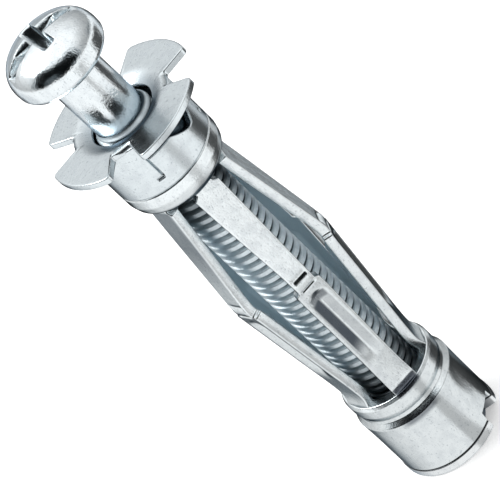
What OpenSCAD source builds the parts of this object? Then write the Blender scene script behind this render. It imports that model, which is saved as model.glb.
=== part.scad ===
// Hollow wall anchor with its machine screw, standing on the nut end.
// The axis is Z. The origin is the centre of the nut's end face, and the screw head is on top.

/* [Anchor] */
// Length from the flange's top face to the nut's end face
anchor_length = 49; // [44:0.5:56]
// Angle of one gap between petals, measured from +X
petal_gap_angle = 67.5; // [0:0.5:90]

/* [Flange cap] */
// Outer diameter across the petals
flange_d = 15.4; // [14.5:0.1:17]
// Sheet thickness of the cap
cap_sheet = 0.65; // [0.5:0.05:0.8]
// Outer diameter of the skirt
skirt_d = 10.16; // [9.9:0.02:10.6]
// Length of the skirt, from the flange's top face to its lower rim
skirt_length = 5.85; // [5.2:0.05:6.4]
// Diameter of the screw's hole in the flange
hole_d = 6.5; // [6.2:0.1:7]
// Radius of the drawn edge round the hole
hole_edge_r = 0.45; // [0.2:0.05:0.5]
// Radius of the bend between the flange and the skirt
cap_bend_r = 0.6; // [0.3:0.05:0.65]
// Number of petals
petals = 4; // [3:1:5]
// Width of a gap between petals at its mouth
gap_mouth = 4.3; // [3:0.1:5]
// Width of a gap between petals at its root
gap_root = 1.9; // [1.4:0.1:2.4]
// Radius of a petal's corners
petal_corner_r = 0.55; // [0.2:0.05:0.8]
// Angle that a window takes out of the skirt under each petal
window_angle = 54; // [40:1:60]
// Angle from the middle of a petal gap to the near edge of the window
window_offset = 5.5; // [2:0.5:12]
// Height of the window at its deep side, below the flange's top face
window_deep = 3.95; // [3:0.05:4.4]
// Height of the window at its shallow side, below the flange's top face
window_shallow = 2.35; // [1.6:0.05:2.8]
// Width of the slit beside each strip
slit_w = 0.18; // [0.1:0.02:0.3]
// Depth of the slit below the flange's top face
slit_deep = 4.6; // [3.5:0.05:5]
// Length of the slit's hooked foot, as an angle
slit_hook_angle = 8; // [3:1:14]

/* [Sleeve] */
// Sheet thickness of the sleeve
sheet = 0.86; // [0.7:0.02:0.95]
// Number of legs
legs = 5; // [4:1:5]
// Outer radius of the sleeve where a leg leaves the top ring
leg_root_r = 4.12; // [4.02:0.02:4.4]
// Outer radius at the crease of a leg
crease_r = 5.72; // [5.2:0.02:6.4]
// Outer radius at the foot of a leg
leg_foot_r = 4.3; // [4.02:0.02:4.4]
// Depth of the legs' upper end below the flange's top face
leg_top_depth = 9.2; // [8.8:0.1:10]
// Depth of the crease below the flange's top face
crease_depth = 22.2; // [20:0.1:24]
// Depth of the legs' foot below the flange's top face
leg_foot_depth = 36.4; // [34:0.1:36.8]
// Width of a leg just under the top ring
leg_top_w = 2.7; // [2.2:0.05:2.8]
// Width of a leg at the crease's weakening notches
crease_w = 1.86; // [1.4:0.02:2.2]
// Width of a leg just below the crease
leg_mid_w = 2.82; // [2.2:0.02:2.9]
// Width of a leg near the tail
leg_low_w = 2.6; // [2.2:0.05:2.8]
// Width of the channel stamped into the lower half of a leg
channel_w = 1.9; // [1.2:0.05:2]
// Depth of the stamped channel
channel_deep = 0.5; // [0.3:0.02:0.6]
// Radius of the bead behind the legs
bead_r = 5.1; // [5:0.02:5.3]
// Radius at the bottom of the groove between bead and tail collar
groove_r = 4.93; // [4.9:0.01:5]
// Diameter of the tail collar
tail_d = 10.54; // [10.4:0.02:11]
// Distance from the bead's top down to the bottom of the groove
groove_drop = 2.25; // [2:0.05:2.4]
// Distance from the bottom of the groove down to the collar's shoulder
shoulder_drop = 0.7; // [0.5:0.05:0.9]

/* [Nut] */
// Thickness of the nut's end flange
nut_flange = 1; // [0.6:0.05:1.4]
// Distance from the nut's upper face up to the top of the tail collar
nut_sink = 0.15; // [0.1:0.05:1]
// Width of the notch through the tail collar and the nut flange
tail_notch_w = 2.8; // [2:0.1:3.2]
// Depth of the tail notch from the nut's end face
tail_notch_deep = 1.95; // [1.2:0.05:2.4]
// Angle of the tail notch, measured from +X
tail_notch_angle = -43.5; // [-60:0.5:-20]

/* [Screw] */
// Outside diameter of the thread
thread_d = 5.9; // [5.6:0.02:6]
// Distance from one thread ridge to the next
thread_pitch = 1; // [0.8:0.05:1.25]
// Depth of the thread
thread_deep = 0.55; // [0.4:0.05:0.65]
// Radial clearance between the thread and the nut
thread_clearance = 0.05; // [0.02:0.01:0.09]
// Diameter of the plain shank under the head
shank_d = 4.84; // [4.6:0.02:5.1]
// Distance from the flange's top face up to the underside of the head
head_gap = 6.9; // [6:0.1:10]
// Distance from the screw's tip up to the nut's end face
tip_inset = 0.4; // [0.1:0.05:1]
// Diameter of the head
head_d = 9.18; // [8.6:0.02:10]
// Height of the head
head_h = 4.05; // [3.6:0.05:4.6]
// Height of the head's widest place above its underside
head_waist = 1.1; // [0.8:0.05:1.4]
// Width of the driving slot
slot_w = 1.15; // [0.9:0.05:1.4]
// Depth of the driving slot
slot_deep = 1.3; // [1:0.05:1.6]
// Angle of the driving slot, measured from +X
slot_angle = -3; // [-45:1:45]
// Length of the cross recess, tip to tip
cross_length = 5; // [4:0.1:5.6]
// Width of the cross recess's wings
cross_w = 1.05; // [0.8:0.05:1.2]
// Depth of the cross recess
cross_deep = 2.6; // [2:0.05:2.8]

/* [Hidden] */
$fn = 96;
// Clearance between pieces pressed on or in each other
seat = 0.02;
// Overshoot of every cutting solid past the face that it cuts
past = 1;
// Steps along a curved outline
steps = 12;
// Sides of the thread, fewer than elsewhere because it has so many ridges
thread_facets = 40;
// How far the ends of a leg lie inside the rings that carry it
leg_bury = 0.1;
// Height of the turn that rolls the top ring in to the legs, and how far it reaches below their upper end
ring_turn_drop = 1;
ring_overlap = 0.6;
// Bend at a leg's crease: start above it, flat part, start below it, and how much each eases in
bend_above = 1.5;
bend_flat = 0.6;
bend_below = 0.5;
bend_ease = [0.1, 0.06];
// Narrow neck of a leg inside the top ring: how much narrower on each side, and its length
neck_step = 0.5;
neck_length = 0.9;
// Length over which a leg narrows to its weakening notch, and the step back below it
notch_run = 1.4;
notch_step = 0.25;
// Height above the leg's foot where the leg has its low width
leg_low_rise = 3;
// Distance from a leg's foot down to the bead's top, and the turn outwards in between
foot_drop = 1.9;
foot_turn = 0.5;
foot_flare = 0.1;
// Distances from the crease and from the leg's foot to the centres of the channel's round ends
channel_top_gap = 1.6;
channel_foot_gap = 2.8;
// Bead behind the legs: how far its middle lies below its top, its rolled edge and its fall to the groove
bead_drop = 0.9;
bead_edge = 0.1;
bead_fall = [0.04, 0.5];
// Collar: lip of the groove, how far the shoulder stands out, and the length over which it runs down
groove_lip = [0.1, 0.3];
shoulder_out = [0.16, 0.1];
shoulder_run = [0.5, 1.8];
collar_edge = [0.1, 0.3];
// Share of a window's width that is level at its shallow side
window_level = 0.45;
// Rounded edges of the nut
nut_edge = 0.25;
// Head: how far its underside lies inside its widest place, power of the dome's curve, fillet to the shank
rim_in = 0.4;
dome_power = 2.5;
dome_steps = 18;
neck_fillet = 0.3;
// Thread: distance of its start below the flange's top face, and the chamfer at the tip
thread_offset = 0.3;
tip_chamfer = [0.5, 0.6];

skirt_r = skirt_d / 2;
tail_r = tail_d / 2;
cap_top = anchor_length;
skirt_rim = cap_top - skirt_length;
neck_r = skirt_r - cap_sheet - seat;
neck_top = cap_top - cap_sheet - seat;

// Top ring of the sleeve: a shoulder that carries the cap's skirt, rolled in to the legs
shoulder_top = skirt_rim - seat;
ring_turn = shoulder_top - ring_turn_drop;
ring_foot = cap_top - leg_top_depth + ring_overlap;

leg_top = cap_top - leg_top_depth;
crease = cap_top - crease_depth;
leg_foot = cap_top - leg_foot_depth;
bead_top = leg_foot - foot_drop;
bead_mid = bead_top - bead_drop;
groove_z = bead_top - groove_drop;
collar_top = groove_z - shoulder_drop;

nut_seat = nut_flange;
nut_top = collar_top - nut_sink;
nut_r = tail_r - sheet - seat;
nut_bore_r = thread_d / 2 + thread_clearance;

head_base = cap_top + head_gap;
head_r = head_d / 2;
shank_r = shank_d / 2;
thread_r = thread_d / 2;
thread_start = cap_top - thread_offset;
ridges = floor((thread_start - tip_inset - tip_chamfer[1]) / thread_pitch);
front = -90;

// Points of a circular arc in a plane
function arc(cx, cy, r, from, to, n = steps) =
    [for (i = [0:n]) [cx + r * cos(from + (to - from) * i / n), cy + r * sin(from + (to - from) * i / n)]];

// Cap: the cup with its drawn hole and bent shoulder, before the windows are cut
module cap_cup() {
    rotate_extrude()
        polygon(concat(
            [[skirt_r - cap_sheet, skirt_rim], [skirt_r, skirt_rim]],
            arc(skirt_r - cap_bend_r, cap_top - cap_bend_r, cap_bend_r, 0, 90),
            arc(hole_d / 2 + hole_edge_r, cap_top - hole_edge_r, hole_edge_r, 90, 180),
            [[hole_d / 2, cap_top - cap_sheet], [skirt_r - cap_sheet, cap_top - cap_sheet]]));
}

// Outline of one gap between petals, pointing along +X
module gap_outline() {
    mouth_x = flange_d / 2;
    polygon([
        [skirt_r, -gap_root / 2], [mouth_x, -gap_mouth / 2], [mouth_x + past, -gap_mouth / 2],
        [mouth_x + past, gap_mouth / 2], [mouth_x, gap_mouth / 2], [skirt_r, gap_root / 2]]);
}

// Flat outline of all the petals, with rounded corners
module petal_outline() {
    offset(r = petal_corner_r) offset(delta = -petal_corner_r)
        difference() {
            circle(r = flange_d / 2);
            circle(r = hole_d / 2 + cap_bend_r);
            for (i = [0:petals - 1]) rotate(petal_gap_angle + 360 / petals * i) gap_outline();
        }
}

// Side view of one window, unrolled: x along the skirt, y up
module window_outline() {
    width = 2 * skirt_r * sin(window_angle / 2);
    top = cap_top - cap_sheet;
    polygon([
        [-width / 2, cap_top - window_shallow],
        [width * (window_level - 0.5), cap_top - window_shallow],
        [width / 2, cap_top - window_deep], [width / 2, top], [-width / 2, top]]);
}

module window_cut() {
    rotate([90, 0, 90]) linear_extrude(skirt_r + past) window_outline();
}

// Slit between a window and the strip beside it, with its hooked foot
module slit_cut(angle) {
    rotate(angle) translate([neck_r, -slit_w / 2, cap_top - slit_deep])
        cube([skirt_r, slit_w, slit_deep - window_shallow + slit_w]);
    rotate(angle - slit_hook_angle) rotate_extrude(angle = slit_hook_angle)
        translate([neck_r, cap_top - slit_deep]) square([skirt_r, slit_w * 1.5]);
}

module flange_cap() {
    color("silver")
    difference() {
        union() {
            cap_cup();
            translate([0, 0, cap_top - cap_sheet]) linear_extrude(cap_sheet) petal_outline();
        }
        for (i = [0:petals - 1]) {
            near = petal_gap_angle + window_offset + 360 / petals * i;
            rotate(near + window_angle / 2) window_cut();
            slit_cut(near);
        }
    }
}

// Top ring: the neck inside the cap, the shoulder under it, and the turn down to the legs
module sleeve_top() {
    rotate_extrude()
        polygon(concat(
            [[neck_r - sheet, neck_top], [neck_r, neck_top], [neck_r, shoulder_top], [skirt_r, shoulder_top]],
            [for (p = arc(0, 0, 1, 0, 90)) [
                leg_root_r + (skirt_r - leg_root_r) * p[0], ring_turn - (ring_turn - ring_foot) * p[1]]],
            [[leg_root_r - sheet, ring_foot], [neck_r - sheet, ring_turn]]));
}

// Tail: bead behind the legs, groove that holds the nut in, and the collar round the nut
module sleeve_tail() {
    outer = [
        [bead_r - bead_edge, bead_top], [bead_r, bead_mid], [bead_r - bead_fall[0], groove_z + bead_fall[1]],
        [groove_r, groove_z], [groove_r + groove_lip[0], groove_z - groove_lip[1]],
        [tail_r + shoulder_out[0], collar_top], [tail_r + shoulder_out[1], collar_top - shoulder_run[0]],
        [tail_r, collar_top - shoulder_run[1]], [tail_r, nut_seat + collar_edge[1]],
        [tail_r - collar_edge[0], nut_seat]];
    inner = [
        [nut_r + seat, nut_seat], [nut_r + seat, nut_top + seat], [groove_r - sheet, groove_z],
        [groove_r - sheet, bead_mid], [leg_foot_r - sheet / 2, bead_top]];
    rotate_extrude() polygon(concat(outer, inner));
}

// Section of one leg along the axis, x outwards, y up, with both ends inside the rings
module leg_section() {
    high = ring_foot + leg_bury * 3;
    low = bead_top - leg_bury * 3;
    turn = leg_foot - foot_turn;
    outer = [
        [leg_root_r - leg_bury, high], [leg_root_r - leg_bury / 3, leg_top],
        [crease_r - bend_ease[0], crease + bend_above], [crease_r, crease + bend_flat], [crease_r, crease],
        [crease_r - bend_ease[1], crease - bend_below], [leg_foot_r, leg_foot], [leg_foot_r + foot_flare, turn],
        [bead_r - sheet / 2, bead_top + foot_turn], [bead_r - sheet / 2 + bead_fall[0], low]];
    inner = [
        [groove_r - sheet + leg_bury, low], [leg_foot_r - sheet + foot_flare, turn],
        [leg_foot_r - sheet, leg_foot], [crease_r - sheet - bend_ease[1], crease - bend_below],
        [crease_r - sheet, crease], [crease_r - sheet, crease + bend_flat],
        [crease_r - sheet - bend_ease[0], crease + bend_above], [leg_root_r - sheet + leg_bury / 3, leg_top],
        [leg_root_r - sheet + leg_bury * 3, high]];
    polygon(concat(outer, inner));
}

// Front view of one leg: y along the width, z up, narrowed at the crease
module leg_outline() {
    half = [
        [leg_top_w / 2 - neck_step, ring_foot + past], [leg_top_w / 2 - neck_step, leg_top + neck_length],
        [leg_top_w / 2, leg_top], [crease_w / 2, crease + notch_run], [crease_w / 2, crease],
        [leg_mid_w / 2, crease - notch_step], [leg_low_w / 2, leg_foot + leg_low_rise],
        [leg_low_w / 2, leg_foot], [leg_mid_w / 2, bead_top]];
    polygon(concat(half, [for (i = [len(half) - 1:-1:0]) [-half[i][0], half[i][1]]]));
}

// Rounded bar along the lower half of a leg, for the channel and the ridge behind it
module channel_bar(r, axis_lift) {
    slope = atan2(crease_r - leg_foot_r, crease - leg_foot);
    top_z = crease - channel_top_gap;
    bar = (crease - leg_foot - channel_top_gap - channel_foot_gap) / cos(slope);
    at_top = leg_foot_r + (crease_r - leg_foot_r) * (top_z - leg_foot) / (crease - leg_foot);
    translate([at_top + axis_lift, 0, top_z]) rotate([0, 180 + slope, 0]) {
        cylinder(r = r, h = bar);
        sphere(r = r);
        translate([0, 0, bar]) sphere(r = r);
    }
}

module leg() {
    // a circle of this radius leaves a groove of the wanted width and depth
    bar_r = (pow(channel_w / 2, 2) + pow(channel_deep, 2)) / (2 * channel_deep);
    lift = bar_r - channel_deep;
    difference() {
        union() {
            intersection() {
                rotate([90, 0, 0]) linear_extrude(leg_mid_w + past, center = true) leg_section();
                rotate([90, 0, 90]) linear_extrude(crease_r + past) leg_outline();
            }
            intersection() {
                channel_bar(bar_r + sheet * 0.9, lift);
                rotate([90, 0, 90]) linear_extrude(crease_r - sheet / 2) leg_outline();
                rotate([90, 0, 0]) linear_extrude(leg_mid_w + past, center = true)
                    translate([-sheet / 2, 0]) leg_section();
            }
        }
        channel_bar(bar_r, lift);
    }
}

module tail_notch() {
    rotate(tail_notch_angle)
        translate([nut_bore_r + sheet, -tail_notch_w / 2, -past])
            cube([tail_r, tail_notch_w, tail_notch_deep + past]);
}

module sleeve() {
    color("gainsboro")
    difference() {
        union() {
            sleeve_top();
            sleeve_tail();
            for (i = [0:legs - 1]) rotate(front + 360 / legs * i) leg();
        }
        tail_notch();
    }
}

// Nut: threaded body pressed into the tail collar, with a flange that stops on its rim
module nut() {
    color("lightsteelblue")
    difference() {
        rotate_extrude()
            polygon(concat(
                [[nut_bore_r, 0]],
                arc(tail_r - nut_edge, nut_edge, nut_edge, -90, 0),
                [[tail_r, nut_seat - seat], [nut_r, nut_seat - seat], [nut_r, nut_top - nut_edge],
                 [nut_r - nut_edge, nut_top], [nut_bore_r, nut_top]]));
        tail_notch();
    }
}

// Half outline of the head: undercut rim, rounded side and domed top
function head_outline() = concat(
    [[0, 0]],
    [for (p = arc(0, 0, 1, -90, 0, 4)) [head_r - rim_in + rim_in * p[0], head_waist * (1 + p[1])]],
    [for (i = [1:dome_steps]) let (k = i / dome_steps)
        [head_r * sqrt(1 - pow(k, dome_power)), head_waist + (head_h - head_waist) * k]]);

// Half outline of the shank and the thread, hanging from the head: one ridge for each pitch
function shank_outline() = concat(
    [[0, neck_fillet], [shank_r + neck_fillet, neck_fillet]],
    arc(shank_r + neck_fillet, -neck_fillet, neck_fillet, 90, 180, 4),
    [[shank_r, thread_start - head_base]],
    [for (i = [0:ridges - 1]) each let (z = thread_start - head_base - thread_pitch * (i + 0.5)) [
        [thread_r, z], [thread_r - thread_deep, z - thread_pitch / 2]]],
    [[thread_r, tip_inset - head_base + tip_chamfer[1]], [thread_r - tip_chamfer[0], tip_inset - head_base],
     [0, tip_inset - head_base]]);

// Cross recess: two crossed wings that narrow towards a blunt point
module cross_recess() {
    intersection() {
        union() for (turn = [0, 90]) rotate(turn)
            translate([-cross_length / 2, -cross_w / 2, head_h - cross_deep])
                cube([cross_length, cross_w, cross_deep + past]);
        translate([0, 0, head_h - cross_deep])
            cylinder(r1 = cross_length / 5, r2 = cross_length / 2, h = cross_deep);
    }
}

module screw() {
    color("lightgray")
    translate([0, 0, head_base])
        difference() {
            union() {
                rotate_extrude() polygon(head_outline());
                rotate_extrude($fn = thread_facets) polygon(shank_outline());
            }
            rotate(slot_angle) {
                translate([-head_r, -slot_w / 2, head_h - slot_deep]) cube([head_d, slot_w, slot_deep + past]);
                cross_recess();
            }
        }
}

screw();
flange_cap();
sleeve();
nut();
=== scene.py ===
import math

import bmesh
import bpy
import numpy as np
from mathutils import Euler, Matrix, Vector


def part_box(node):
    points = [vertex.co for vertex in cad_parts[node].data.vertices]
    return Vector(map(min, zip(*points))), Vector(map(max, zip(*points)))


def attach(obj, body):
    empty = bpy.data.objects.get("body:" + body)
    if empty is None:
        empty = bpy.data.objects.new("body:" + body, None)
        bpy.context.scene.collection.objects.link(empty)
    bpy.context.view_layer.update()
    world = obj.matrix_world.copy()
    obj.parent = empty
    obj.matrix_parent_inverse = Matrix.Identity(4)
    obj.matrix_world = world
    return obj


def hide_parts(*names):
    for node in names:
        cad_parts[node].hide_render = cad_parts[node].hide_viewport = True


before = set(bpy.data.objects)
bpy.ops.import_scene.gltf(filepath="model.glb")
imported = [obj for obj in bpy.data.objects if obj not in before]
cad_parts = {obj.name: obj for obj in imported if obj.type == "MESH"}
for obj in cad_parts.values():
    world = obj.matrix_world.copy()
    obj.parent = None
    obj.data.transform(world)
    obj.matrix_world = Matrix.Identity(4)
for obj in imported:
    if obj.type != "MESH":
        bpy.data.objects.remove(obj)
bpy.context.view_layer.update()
mm = 0.001
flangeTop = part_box("flange_cap")[1].z / mm  # the flange's top face, from which depths are counted
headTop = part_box("screw")[1].z / mm
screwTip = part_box("screw")[0].z / mm
print("frame loaded, flange at", round(flangeTop, 2), "mm")


# camera and studio

cameraSetup = {
    "place": (-12.65, -235.95, 188.87),  # mm
    "looksAt": (-0.29, 0.0, 30.33),  # mm
    "roll": -46.4,  # degrees about the line of sight
    "lens": 236.04,  # mm
    "sensor": 36.0,  # mm
    "clip": (0.01, 10.0),  # metres
}


def makeCamera(setup):
    data = bpy.data.cameras.new("camera")
    data.lens = setup["lens"]
    data.sensor_width = setup["sensor"]
    data.clip_start, data.clip_end = setup["clip"]
    camera = bpy.data.objects.new("camera", data)
    place = Vector(setup["place"]) * mm
    view = Vector(setup["looksAt"]) * mm - place
    roll = Euler((0, 0, math.radians(setup["roll"]))).to_quaternion()
    camera.rotation_mode = "QUATERNION"
    camera.location = place
    camera.rotation_quaternion = view.to_track_quat("-Z", "Y") @ roll
    bpy.context.scene.collection.objects.link(camera)
    bpy.context.scene.camera = camera


makeCamera(cameraSetup)


# small helpers for node trees


def calc(tree, operation, *values, clamp=False):
    node = tree.nodes.new("ShaderNodeMath")
    node.operation = operation
    node.use_clamp = clamp
    for socket, value in zip(node.inputs, values):
        if isinstance(value, (int, float)):
            socket.default_value = value
        else:
            tree.links.new(value, socket)
    return node.outputs[0]


def ramp(tree, value, low, high, fromValue=0.0, toValue=1.0):
    # from fromValue at low to toValue at high, where low may be the greater of the two
    node = tree.nodes.new("ShaderNodeMapRange")
    node.interpolation_type = "SMOOTHSTEP"
    tree.links.new(value, node.inputs["Value"])
    limits = {"From Min": low, "From Max": high, "To Min": fromValue, "To Max": toValue}
    for name, number in limits.items():
        node.inputs[name].default_value = number
    return node.outputs["Result"]


def product(tree, first, *others):
    for value in others:
        first = calc(tree, "MULTIPLY", first, value)
    return first


def largest(tree, first, *others):
    for value in others:
        first = calc(tree, "MAXIMUM", first, value)
    return first


def window(tree, value, start, full, fade, end):
    # 0 below start, 1 between full and fade, 0 above end, with soft flanks
    return product(tree, ramp(tree, value, start, full), ramp(tree, value, end, fade))


def dimmed(tree, mask, low):
    # 1 where the mask is 0, and low where it is 1
    return ramp(tree, mask, 0, 1, 1.0, low)


def colorMix(tree, factor, first, second):
    node = tree.nodes.new("ShaderNodeMix")
    node.data_type = "RGBA"
    for name, value in (("Factor", factor), ("A", first), ("B", second)):
        socket = node.inputs[name]
        if isinstance(value, (int, float)):
            socket.default_value = value
        elif isinstance(value, tuple):
            socket.default_value = (*value, 1.0)
        else:
            tree.links.new(value, socket)
    return node.outputs["Result"]


def radiusOf(tree, vector):
    split = tree.nodes.new("ShaderNodeSeparateXYZ")
    tree.links.new(vector, split.inputs[0])
    flat = tree.nodes.new("ShaderNodeCombineXYZ")
    tree.links.new(split.outputs["X"], flat.inputs["X"])
    tree.links.new(split.outputs["Y"], flat.inputs["Y"])
    length = tree.nodes.new("ShaderNodeVectorMath")
    length.operation = "LENGTH"
    tree.links.new(flat.outputs[0], length.inputs[0])
    return length.outputs["Value"], flat.outputs[0], split.outputs["Z"]


# studio

studio = {
    "skyRise": (-5, 62, 0.56, 1.25),  # degrees above the horizon, and the sky's brightness at each
    "sideHeading": (40, 60, 150, 178),  # the less bright side of the sky: starts, is full, fades, ends
    "sideRise": (70, 20),  # degrees above the horizon where it is gone, and where it is full
    "sideTone": 0.72,
    # patches of the sky: headings, then elevations, where each starts, is full, fades and ends
    "darkUpper": ((-96, -78, 26, 50), (2, 12, 54, 66)),
    "darkLower": ((-90, -76, 10, 24), (-14, -4, 18, 28)),
    "gleam": ((-66, -50, -34, -18), (-8, 4, 20, 34)),
    "flag": ((78, 88, 102, 116), (-80, -70, 0, 14)),
    "flagShare": 0.75,
    "gleamTone": 0.72,  # how dark the room stays where the gleam is
    "darkRoom": 0.005,  # what is left of the light on the unlit side
    "shadeTint": (0.72, 0.90, 1.0),
    "floorTone": 1.12,  # the floor as the metal mirrors it
    "floorNear": (0.02, 0.09, 0.82, 1.05),  # distances in metres, and the floor's tone at each
    # dark bands on the floor: heading where each starts, is full, fades and ends, and its depth
    "floorBands": ((4, 12, 24, 34, 0.42), (66, 78, 106, 126, 0.92), (134, 146, 168, 180, 0.88),
                   (-180, -168, -148, -132, 0.82), (-88, -78, -66, -56, 0.04),
                   (-128, -122, -112, -104, 0.15)),
    "bandReach": (0.36, 0.16),  # metres from the object where the bands are gone, and where they are full
    "floorColor": (0.93, 0.93, 0.93),
    "floorFill": 0.35,  # light of its own that the camera sees on the floor
    "floorSize": 4.0,  # metres
}
cameraHeading = 3.0  # degrees from -Y to the camera
softbox = {
    "place": (-0.25, 0.18, 0.60),  # metres
    "aim": (0, 0, 0.03),
    "size": 0.35,
    "power": 2.2,
}


def headingOf(tree, vector):
    # degrees round the object, 0 towards the camera and growing anticlockwise, and the height of the ray
    split = tree.nodes.new("ShaderNodeSeparateXYZ")
    tree.links.new(vector, split.inputs[0])
    behind = calc(tree, "MULTIPLY", split.outputs["Y"], -1.0)
    heading = calc(tree, "ARCTAN2", split.outputs["X"], behind)
    heading = calc(tree, "ADD", product(tree, heading, 180 / math.pi), cameraHeading)
    return heading, split.outputs["Z"]


def linkedShader(tree, kind, **sockets):
    node = tree.nodes.new(kind)
    for name, value in sockets.items():
        if isinstance(value, (int, float, tuple)):
            node.inputs[name].default_value = value
        else:
            tree.links.new(value, node.inputs[name])
    return node.outputs[0]


def mixedShader(tree, factor, first, second):
    node = tree.nodes.new("ShaderNodeMixShader")
    for socket, value in zip(node.inputs, (factor, first, second)):
        tree.links.new(value, socket)
    return node.outputs[0]


def makeWorld(values):
    world = bpy.data.worlds.new("studio")
    bpy.context.scene.world = world
    world.use_nodes = True
    tree = world.node_tree
    tree.nodes.clear()
    place = tree.nodes.new("ShaderNodeTexCoord")
    heading, rise = headingOf(tree, place.outputs["Generated"])
    elevation = product(tree, calc(tree, "ARCSINE", rise), 180 / math.pi)

    def patch(name):
        around, upwards = values[name]
        return product(tree, window(tree, heading, *around), window(tree, elevation, *upwards))

    side = window(tree, heading, *values["sideHeading"])
    side = product(tree, side, ramp(tree, elevation, *values["sideRise"]))
    sky = product(tree, ramp(tree, elevation, *values["skyRise"]), dimmed(tree, side, values["sideTone"]))
    flag = product(tree, patch("flag"), values["flagShare"])
    dark = largest(tree, patch("darkUpper"), patch("darkLower"), flag)
    dark = product(tree, dark, dimmed(tree, patch("gleam"), values["gleamTone"]))
    tone = product(tree, sky, dimmed(tree, dark, values["darkRoom"]))
    tint = colorMix(tree, dark, (1.0, 1.0, 1.0), values["shadeTint"])
    background = linkedShader(tree, "ShaderNodeBackground", Color=tint, Strength=tone)
    plain = linkedShader(tree, "ShaderNodeBackground", Color=(1, 1, 1, 1), Strength=1.0)
    path = tree.nodes.new("ShaderNodeLightPath")
    seen = mixedShader(tree, path.outputs["Is Camera Ray"], background, plain)
    output = tree.nodes.new("ShaderNodeOutputWorld")
    tree.links.new(seen, output.inputs["Surface"])


def makeFloor(values):
    half = values["floorSize"] / 2
    mesh = bpy.data.meshes.new("floor")
    corners = [(-half, -half, 0), (half, -half, 0), (half, half, 0), (-half, half, 0)]
    mesh.from_pydata(corners, [], [(0, 1, 2, 3)])
    floor = bpy.data.objects.new("floor", mesh)
    bpy.context.scene.collection.objects.link(floor)
    material = bpy.data.materials.new("paleFloor")
    material.use_nodes = True
    tree = material.node_tree
    tree.nodes.clear()
    place = tree.nodes.new("ShaderNodeTexCoord")
    heading, _ = headingOf(tree, place.outputs["Object"])
    away, _, _ = radiusOf(tree, place.outputs["Object"])
    tone = product(tree, ramp(tree, away, *values["floorNear"]), values["floorTone"])
    close = ramp(tree, away, *values["bandReach"])
    for *band, depth in values["floorBands"]:
        dark = product(tree, window(tree, heading, *band), close)
        tone = product(tree, dimmed(tree, dark, 1 - depth), tone)
    paper = linkedShader(tree, "ShaderNodeBsdfDiffuse", Color=(*values["floorColor"], 1))
    fill = linkedShader(tree, "ShaderNodeEmission", Strength=values["floorFill"])
    mirrored = linkedShader(tree, "ShaderNodeEmission", Strength=tone)
    lit = tree.nodes.new("ShaderNodeAddShader")
    tree.links.new(paper, lit.inputs[0])
    tree.links.new(fill, lit.inputs[1])
    path = tree.nodes.new("ShaderNodeLightPath")
    camera = mixedShader(tree, path.outputs["Is Camera Ray"], paper, lit.outputs[0])
    glossy = mixedShader(tree, path.outputs["Is Glossy Ray"], camera, mirrored)
    output = tree.nodes.new("ShaderNodeOutputMaterial")
    tree.links.new(glossy, output.inputs["Surface"])
    mesh.materials.append(material)


def makeLamp(name, values):
    data = bpy.data.lights.new(name, "AREA")
    data.shape = "DISK"
    data.size = values["size"]
    data.energy = values["power"]
    lamp = bpy.data.objects.new(name, data)
    lamp.location = Vector(values["place"])
    lamp.rotation_mode = "QUATERNION"
    lamp.rotation_quaternion = (Vector(values["aim"]) - Vector(values["place"])).to_track_quat("-Z", "Y")
    bpy.context.scene.collection.objects.link(lamp)


makeWorld(studio)
makeFloor(studio)
makeLamp("overheadSoftbox", softbox)
bpy.context.scene.view_settings.view_transform = "Standard"
print("camera and studio ready")


# zinc plate

# grain and mottle are noise scales, spread is how far the mottle moves the roughness, relief is in metres,
# rim is how far painted shade darkens the plate where it is seen edge on, outline tints its mirror there, and
# dull is added to the roughness everywhere
zincFinishes = {
    "screwZinc": {"tint": (0.79, 0.84, 0.86), "grain": 6500.0, "mottle": 1500.0, "roughness": 0.13,
                  "spread": 0.16, "relief": 0.000022, "stretch": (1.0, 1.0, 0.6),
                  "rim": 0.3, "outline": (0.45, 0.5, 0.55), "dull": 0.0},
    "threadZinc": {"tint": (0.82, 0.91, 0.95), "grain": 6500.0, "mottle": 1500.0, "roughness": 0.30,
                   "spread": 0.16, "relief": 0.000004, "stretch": (1.0, 1.0, 1.0),
                   "rim": 0.3, "outline": (0.30, 0.35, 0.40), "dull": 0.10},
    "capZinc": {"tint": (0.725, 0.785, 0.81), "grain": 4200.0, "mottle": 1100.0, "roughness": 0.24,
                "spread": 0.20, "relief": 0.000009, "stretch": (1.0, 1.0, 1.0),
                "rim": 0.5, "outline": (0.12, 0.14, 0.17), "dull": 0.0},
    "sleeveZinc": {"tint": (0.835, 0.885, 0.90), "grain": 6000.0, "mottle": 1300.0, "roughness": 0.20,
                   "spread": 0.20, "relief": 0.000014, "stretch": (1.0, 1.0, 0.7),
                   "rim": 0.7, "outline": (0.08, 0.10, 0.12), "dull": 0.0},
    "nutZinc": {"tint": (0.92, 0.95, 0.96), "grain": 5000.0, "mottle": 900.0, "roughness": 0.24,
                "spread": 0.10, "relief": 0.000006, "stretch": (1.0, 1.0, 1.0),
                "rim": 0.5, "outline": (0.30, 0.35, 0.40), "dull": 0.0},
}
plateLook = {
    # noise at which each begins and is full, its share and its color
    "mottle": ((0.42, 0.66), 0.24, (0.55, 0.60, 0.64)),
    "fleck": ((0.62, 0.74), 0.25, (0.95, 0.96, 0.97)),
    "pit": ((0.41, 0.30), 0.42, (0.30, 0.35, 0.39)),
    "noiseRoughness": 0.55,
    "evenMottle": 0.45,  # mottle that leaves the roughness as it is
    "waveScale": 0.35,  # of the mottle's scale
    "heights": (0.8, 1.0, 2.0),  # shares of grain, mottle and wave in the relief
    # painted shade along the outline, where the plate is seen edge on
    "rimShadeFrom": 0.72,  # facing at which the rim begins
    "rimShadeColor": (0.10, 0.13, 0.15),
}


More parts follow.
